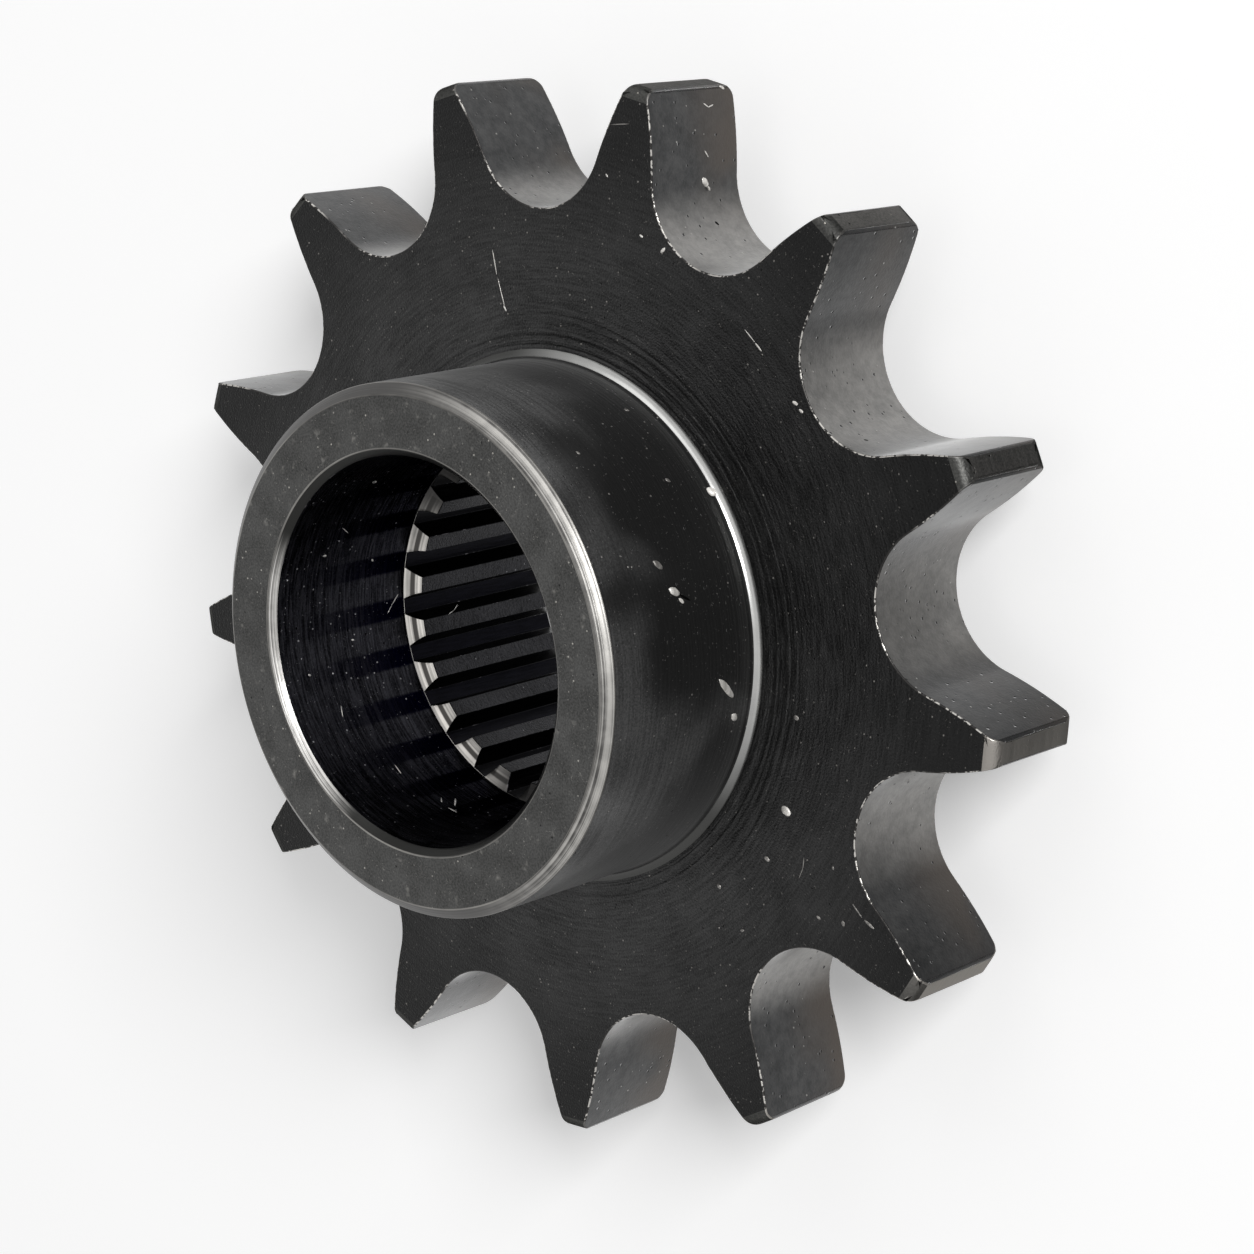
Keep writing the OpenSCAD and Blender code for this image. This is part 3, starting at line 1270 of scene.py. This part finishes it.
    def edge_share(self, faces: list[bpy.types.MeshPolygon]) -> float:
        """Says how far the edge between two faces is broken, as a share of the full width.

        Args:
            faces: The two faces that meet at the edge.

        Returns:
            The share, from 0 to 1.
        """
        zones = {Zone(face.material_index) for face in faces}
        if zones & {Zone.SPLINE_LAND, Zone.SPLINE_FLANK, Zone.SPLINE_FLOOR, Zone.LEAD_IN, Zone.COUNTERBORE}:
            return self.bore_break
        if zones & {Zone.HUB_SIDE, Zone.HUB_END, Zone.MOUTH}:
            return self.hub_break
        if Zone.TIP_CHAMFER in zones and zones & {Zone.TIP_LAND, Zone.DISC_FACE}:
            return self.tip_break
        return self.tooth_break

    def break_edges(self, piece: bpy.types.Object) -> None:
        """Rounds the marked edges.

        Args:
            piece: The dressed sprocket, with its edges weighed.
        """
        pick(piece)
        bpy.ops.object.shade_smooth()
        bevel = piece.modifiers.new("broken_edges", "BEVEL")
        bevel.limit_method = "WEIGHT"
        bevel.width = self.edge_break * MM
        bevel.segments = self.break_steps
        bevel.use_clamp_overlap = False
        bevel.material = Zone.BROKEN_EDGE.value
        bpy.ops.object.modifier_apply(modifier=bevel.name)
        normals = piece.modifiers.new("even_normals", "WEIGHTED_NORMAL")
        normals.mode = "FACE_AREA"
        normals.weight = self.face_weight
        bpy.ops.object.modifier_apply(modifier=normals.name)

    def sort_edges(self, piece: bpy.types.Object) -> None:
        """Gives each broken edge the finish that wear leaves at its place.

        Args:
            piece: The dressed sprocket, with its edges broken.
        """
        inner = self.bore_radius + self.mouth_chamfer / 2
        for face in piece.data.polygons:
            radius = math.hypot(face.center.x, face.center.y) / MM
            if face.material_index != Zone.BROKEN_EDGE.value:
                continue
            if radius < inner:
                face.material_index = Zone.BORE_EDGE.value
            elif radius < self.hub_radius + self.slack:
                face.material_index = Zone.HUB_EDGE.value
            elif radius > self.teeth.tip_radius - self.tip_round:
                face.material_index = Zone.TIP_LAND.value

    def build(self) -> bpy.types.Object:
        """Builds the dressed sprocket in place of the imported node.

        Returns:
            The dressed piece.
        """
        piece = self.machine()
        self.sort_faces(piece)
        self.weigh_edges(piece)
        self.break_edges(piece)
        self.sort_edges(piece)
        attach(piece, BODY)
        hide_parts(NODE)
        return piece


@dataclass(frozen=True)
class Nick:
    """A chip, bead or scratch from one point of the surface to another, in millimetres."""

    start: tuple[float, float, float]
    end: tuple[float, float, float]
    facing: tuple[float, float, float]
    width: float

    def frame(self, proud: float) -> Matrix:
        """Places, turns and stretches a chip of size 1 mm.

        Args:
            proud: Height of the chip as a share of its width.

        Returns:
            The matrix that lays the chip on the surface.
        """
        up = Vector(self.facing).normalized()
        run = Vector(self.end) - Vector(self.start)
        along = (run - up * run.dot(up)).normalized()
        turn = Matrix((along, up.cross(along), up)).transposed().to_4x4()
        size = Matrix.Diagonal((run.length + self.width, self.width, self.width * proud, 1.0))
        return Matrix.Translation((Vector(self.start) + Vector(self.end)) / 2 * MM) @ turn @ size


def on_face(x: float, y: float, run_x: float, run_y: float, width: float) -> Nick:
    """Places a mark on the disc's front face.

    Args:
        x: Where the mark starts along X.
        y: Where it starts along Y.
        run_x: How far it runs along X.
        run_y: How far it runs along Y.
        width: Its width.

    Returns:
        The mark.
    """
    height = Sprocket.disc_front
    return Nick((x, y, height), (x + run_x, y + run_y, height), (0.0, 0.0, 1.0), width)


def on_wall(radius: float, turn: float, height: float, run: float, rise: float, width: float,
            inside: bool = False) -> Nick:
    """Places a mark on a round wall.

    Args:
        radius: Radius of the wall.
        turn: Bearing at which the mark starts.
        height: Height at which it starts.
        run: How far it runs round the axis, in degrees.
        rise: How far it rises.
        width: Its width.
        inside: Whether the wall faces the axis.

    Returns:
        The mark.
    """
    start = turned(Vector((radius, 0.0)), turn)
    end = turned(Vector((radius, 0.0)), turn + run)
    out = (start + end) * (-1 if inside else 1)
    return Nick((*start, height), (*end, height + rise), (*out, 0.0), width)


def on_hub(*place: float) -> Nick:
    """Places a mark on the hub's side, by the same numbers as on any wall but its radius."""
    return on_wall(Sprocket.hub_radius, *place)


def in_bore(*place: float) -> Nick:
    """Places a mark on the counterbore's wall, by the same numbers as on any wall but its radius."""
    return on_wall(Sprocket.bore_radius, *place, inside=True)


def on_spline(*place: float) -> Nick:
    """Places a mark on a spline's land, by the same numbers as on any wall but its radius."""
    return on_wall(Splines.minor_radius, *place, inside=True)


@dataclass(frozen=True)
class Nicks:
    """Chips and scratches of one finish, all copied from one irregular bead of steel."""

    name: str
    finish: RubbedSteel
    marks: tuple[Nick, ...]
    proud: float = 0.5
    bead_steps: int = 3
    unevenness: float = 0.06
    seed: int = 4

    def bead(self) -> bpy.types.Object:
        """Models the one bead, 1 mm across and uneven.

        Returns:
            The bead, at the origin.
        """
        bpy.ops.object.select_all(action="DESELECT")
        bpy.ops.mesh.primitive_ico_sphere_add(subdivisions=self.bead_steps, radius=MM / 2)
        bead = bpy.context.object
        bead.name = self.name
        bpy.ops.object.mode_set(mode="EDIT")
        bpy.ops.mesh.select_all(action="SELECT")
        bpy.ops.transform.vertex_random(offset=self.unevenness * MM, seed=self.seed)
        bpy.ops.mesh.normals_make_consistent(inside=False)
        bpy.ops.object.mode_set(mode="OBJECT")
        bpy.ops.object.shade_smooth()
        bead.data.materials.append(self.finish.material())
        return bead

    def build(self) -> bpy.types.Object:
        """Copies the bead to every mark and joins the copies.

        Returns:
            The finished piece.
        """
        first = self.bead()
        copies = [first]
        for _ in self.marks[1:]:
            pick(first)
            bpy.ops.object.duplicate()
            copies.append(bpy.context.object)
        bpy.ops.object.select_all(action="DESELECT")
        for copy, mark in zip(copies, self.marks):
            copy.matrix_world = mark.frame(self.proud)
            copy.select_set(True)
        bpy.context.view_layer.objects.active = first
        bpy.ops.object.transform_apply(location=True, rotation=True, scale=True)
        bpy.ops.object.join()
        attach(first, BODY)
        return first


# The direction that the second tooth's side faces
SECOND_TOOTH = (-0.17, -0.99, 0.0)

# The marks below lie where they show in the photograph
BARE_NICKS = Nicks("bare_nicks", RubbedSteel("bare_steel_nick", "#a8a5a0", "#e6e3de", 0.35, metallic=0.4), (
    # Beads and a smear halfway down the hub
    on_hub(-87.6, 15.5, -0.7, -0.3, 0.42),
    on_hub(-89.8, 15.05, -0.6, -0.15, 0.2),
    on_hub(-108.8, 12.5, -3.7, -0.94, 0.4),
    on_hub(-117.5, 11.2, -0.5, -0.14, 0.38),
    # A bead on the fillet
    Nick((5.05, -13.22, 10.18), (4.9, -13.3, 10.1), (0.3, -0.8, 0.5), 0.42),
    # The long scratch above the hub
    on_face(20.0, -1.15, -1.3, 0.07, 0.06),
    on_face(18.5, -1.1, -1.6, -0.06, 0.05),
    on_face(16.95, -1.12, -0.25, -0.08, 0.1),
    # Chips on the second tooth and above the gap after it, and two by the next gap
    on_face(17.6, -13.2, -0.1, 0.2, 0.18),
    on_face(22.1, -10.35, -0.1, -0.05, 0.1),
    on_face(18.6, -11.8, -0.1, -0.1, 0.12),
    on_face(8.5, -19.55, -0.1, -0.15, 0.2),
    on_face(8.05, -19.85, -0.1, -0.1, 0.16),
    # The short scratch and the bead to the right of the hub
    on_face(12.6, -17.4, -0.7, -0.45, 0.06),
    on_face(11.8, -17.9, -0.4, -0.25, 0.11),
    on_face(-11.8, -13.4, -0.15, -0.15, 0.46),
    # The second tooth's side, from its foot to its tip
    Nick((20.85, -13.22, 5.7), (20.65, -13.24, 5.55), SECOND_TOOTH, 0.38),
    Nick((20.45, -13.28, 5.5), (20.35, -13.3, 5.45), SECOND_TOOTH, 0.14),
    Nick((24.7, -14.07, 5.45), (24.5, -14.09, 5.1), SECOND_TOOTH, 0.07),
    Nick((24.5, -14.09, 5.1), (24.6, -14.08, 4.75), SECOND_TOOTH, 0.07),
    Nick((22.3, -13.6, 5.6), (22.0, -13.65, 5.4), SECOND_TOOTH, 0.08),
    Nick((25.5, -14.17, 3.95), (25.4, -14.17, 3.75), (0.12, -0.99, 0.0), 0.16),
))
DULL_NICKS = Nicks("dull_nicks", RubbedSteel("rubbed_oxide_nick", "#5a5856", "#9a9793", 0.4, metallic=0.6), (
    # Rubbed spots and one fine scratch on the hub
    on_hub(-81.4, 16.1, -1.0, -0.25, 0.34),
    on_hub(-53.9, 17.3, -0.4, -0.05, 0.16),
    on_hub(-64.6, 12.7, -0.4, -0.1, 0.2),
    on_hub(-44.8, 11.6, -0.3, -0.1, 0.18),
    on_hub(-42.5, 15.1, -7.9, 0.05, 0.05),
    # Small spots on the face, mostly below and to the right of the hub
    on_face(-14.2, -11.45, -0.1, -0.1, 0.24),
    on_face(-7.15, -15.4, -0.05, -0.1, 0.26),
    on_face(-15.4, -7.75, -0.1, -0.05, 0.22),
    on_face(24.48, -11.4, -0.24, -1.2, 0.05),
    on_face(-17.9, -17.2, -0.4, -0.4, 0.16),
    on_face(-17.0, -16.6, -0.7, -0.4, 0.08),
    on_face(-14.4, -14.0, -0.5, 0.2, 0.06),
    on_face(-14.9, -13.8, -0.5, 0.4, 0.05),
    on_face(-17.9, -15.7, -0.1, 0.0, 0.2),
    on_face(-17.5, -14.1, -0.1, -0.1, 0.15),
    on_face(-17.9, -8.7, 0.0, -0.1, 0.16),
    on_face(-15.0, -15.8, -0.1, 0.0, 0.12),
))
BORE_NICKS = Nicks("bore_nicks", RubbedSteel("bare_steel_hair", "#8a8886", "#dcdad6", 0.35, metallic=0.4), (
    # Two curls of fine swarf by the cone, one on the wall and one on a spline
    in_bore(78.8, 12.45, -2.3, -0.35, 0.06),
    in_bore(76.5, 12.1, -2.9, -0.5, 0.07),
    on_spline(82.6, 8.75, -0.9, -0.45, 0.06),
    on_spline(81.7, 8.3, -1.6, -0.3, 0.07),
    # Scratches across the tool marks
    in_bore(46.3, 16.8, 2.5, -0.6, 0.05),
    in_bore(149.2, 15.47, 3.1, -0.02, 0.09),
    in_bore(145.9, 14.4, 2.9, 0.55, 0.1),
    in_bore(143.6, 15.1, 1.9, 0.3, 0.06),
    in_bore(103.1, 17.32, 3.4, 0.17, 0.05),
    in_bore(126.2, 15.92, 3.5, 0.04, 0.06),
    # Beads
    in_bore(27.2, 16.36, 0.2, -0.1, 0.22),
    in_bore(55.4, 17.6, 0.1, -0.1, 0.15),
    in_bore(91.6, 18.87, 0.2, -0.07, 0.12),
    in_bore(84.3, 15.33, 0.1, -0.08, 0.1),
    in_bore(60.4, 13.81, 0.3, -0.06, 0.12),
), proud=0.4)
OPEN_PITS = Nicks("open_pits", RubbedSteel("open_pit", "#080808", "#161616", 0.6), (
    # Beside the beads on the hub
    on_hub(-88.8, 15.0, -1.6, -0.65, 0.14),
    on_hub(-109.5, 12.2, -2.2, -0.55, 0.1),
    # In the seats before the third and the fourth tooth
    Nick((18.6, -13.34, 5.55), (18.5, -13.36, 5.45), (0.3, -0.95, 0.0), 0.16),
    Nick((5.95, -22.04, 7.95), (5.9, -22.07, 7.85), (0.79, -0.62, 0.0), 0.14),
), proud=0.1)


def away(azimuth: float, elevation: float) -> Vector:
    """Gives the direction from the part towards a lamp or camera.

    Args:
        azimuth: Angle round the part, from its -Y side towards +X.
        elevation: Angle above the floor.

    Returns:
        The direction, of length 1.
    """
    turn, rise = math.radians(azimuth), math.radians(elevation)
    return Vector((math.sin(turn) * math.cos(rise), -math.cos(turn) * math.cos(rise), math.sin(rise)))


@dataclass
class Camera:
    """The photograph's camera. Angles are in degrees, and the frame is taken as square."""

    target: tuple[float, float, float] = (-1.148, -5.124, 9.8)
    azimuth: float = 3.397
    elevation: float = 46.348
    roll: float = -104.398
    distance: float = 171.95
    focal_pixels: float = 3241.0
    frame_pixels: float = 1254.0
    sensor: float = 36.0
    clip_start: float = 1.0

    def build(self) -> None:
        """Adds the camera and makes it the scene's."""
        back = away(self.azimuth, self.elevation)
        bpy.ops.object.camera_add(location=(Vector(self.target) + back * self.distance) * MM)
        camera = bpy.context.object
        facing = (-back).to_track_quat("-Z", "Y").to_matrix()
        rolled = facing @ Matrix.Rotation(math.radians(self.roll), 3, "Z")
        camera.rotation_euler = rolled.to_euler()
        camera.data.sensor_width = self.sensor
        camera.data.lens = self.focal_pixels / self.frame_pixels * self.sensor
        camera.data.clip_start = self.clip_start * MM
        bpy.context.scene.camera = camera
        LOG.info("the camera looks from %.0f mm away", self.distance)


@dataclass
class Lamp:
    """A square soft box, placed by angles round the sprocket. Its level is the light on a facing sheet."""

    name: str
    azimuth: float
    elevation: float
    level: float
    size: float = 400.0
    distance: float = 1600.0
    aim: tuple[float, float, float] = (0.0, 0.0, 9.0)

    def build(self) -> None:
        """Adds the lamp, facing its aim."""
        back = away(self.azimuth, self.elevation)
        bpy.ops.object.light_add(type="AREA", location=(Vector(self.aim) + back * self.distance) * MM)
        lamp = bpy.context.object
        lamp.name = self.name
        lamp.rotation_euler = (-back).to_track_quat("-Z", "Y").to_euler()
        lamp.data.shape = "SQUARE"
        lamp.data.size = self.size * MM
        lamp.data.energy = self.level * (math.pi * self.distance * MM) ** 2


@dataclass
class Studio:
    """White floor, white surroundings and soft boxes.

    In the steel, the floor darkens from the near start to the near end, on the side that the camera stands
    on. The photograph's surfaces that face the camera are dark, as the room in front of them is.
    """

    floor_width: float = 4000.0
    floor_drop: float = 0.02
    floor_colour: str = "#f0f0f0"
    floor_glow: float = 0.3
    near_bearing: float = -100.0
    near_start: float = 18.0
    near_end: float = 33.0
    near_level: float = 0.1
    surroundings: float = 0.95
    world_light: float = 0.3
    lamps: tuple[Lamp, ...] = (
        Lamp("key_box", azimuth=16.0, elevation=31.0, level=0.87, size=600.0),
        Lamp("side_box", azimuth=75.0, elevation=25.0, level=0.15, size=1200.0),
    )

    def floor_material(self) -> bpy.types.Material:
        """Builds the paper: plain light in the steel, and white with the sprocket's shadow to the camera.

        Returns:
            The finished material.
        """
        s = Surface("white_paper")
        paper = s.add("BsdfDiffuse", {"Color": linear(self.floor_colour)})
        seen = s.add("LightPath", {}, "Is Camera Ray")
        lift = s.add("Math", {0: seen, 1: self.floor_glow}, operation="MULTIPLY")
        lit = s.add("AddShader", {0: paper, 1: s.add("Emission", {"Strength": lift})})
        shine = s.add("Math", {0: s.add("LightPath", {}, "Is Glossy Ray"),
                               1: s.add("LightPath", {}, "Is Transmission Ray")}, operation="MAXIMUM")
        turn = math.radians(self.near_bearing)
        along = s.add("VectorMath", {0: s.place, 1: (math.cos(turn), math.sin(turn), 0.0)}, "Value",
                      operation="DOT_PRODUCT")
        level = s.add("MapRange", {
            "Value": along, "From Min": self.near_start * MM, "From Max": self.near_end * MM,
            "To Min": self.surroundings, "To Max": self.near_level}, **GENTLE)
        white = s.add("Emission", {"Strength": level})
        both = s.add("MixShader", {0: shine, 1: lit, 2: white})
        s.add("OutputMaterial", {"Surface": both})
        return s.material

    def light_world(self) -> None:
        """Makes the surroundings white to the camera and in the steel, and a soft light elsewhere."""
        world = bpy.context.scene.world or bpy.data.worlds.new("surroundings")
        bpy.context.scene.world = world
        world.use_nodes = True
        tree = world.node_tree
        tree.nodes.clear()
        diffuse = add_node(tree, "LightPath", {}, "Is Diffuse Ray")
        level = add_node(tree, "MapRange", {"Value": diffuse, "To Min": self.surroundings,
                                            "To Max": self.world_light})
        sky = add_node(tree, "Background", {"Color": linear("#ffffff"), "Strength": level})
        add_node(tree, "OutputWorld", {"Surface": sky})

    def build(self) -> None:
        """Adds the floor, the world and the lamps."""
        bpy.ops.object.select_all(action="DESELECT")
        bpy.ops.mesh.primitive_plane_add(size=self.floor_width * MM, location=(0, 0, -self.floor_drop * MM))
        floor = bpy.context.object
        floor.name = "paper_floor"
        floor.data.materials.append(self.floor_material())
        self.light_world()
        for lamp in self.lamps:
            lamp.build()
        LOG.info("the studio has %d lamps", len(self.lamps))


def main() -> None:
    """Builds the camera, the studio and the pieces in order, and reports each piece."""
    logging.basicConfig(level=logging.INFO)
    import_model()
    bpy.context.scene.view_settings.view_transform = "Standard"
    Camera().build()
    Studio().build()
    for part in (Sprocket(), BARE_NICKS, DULL_NICKS, BORE_NICKS, OPEN_PITS):
        piece = part.build()
        LOG.info("%s has %d faces", piece.name, len(piece.data.polygons))


if __name__ == "__main__":
    main()
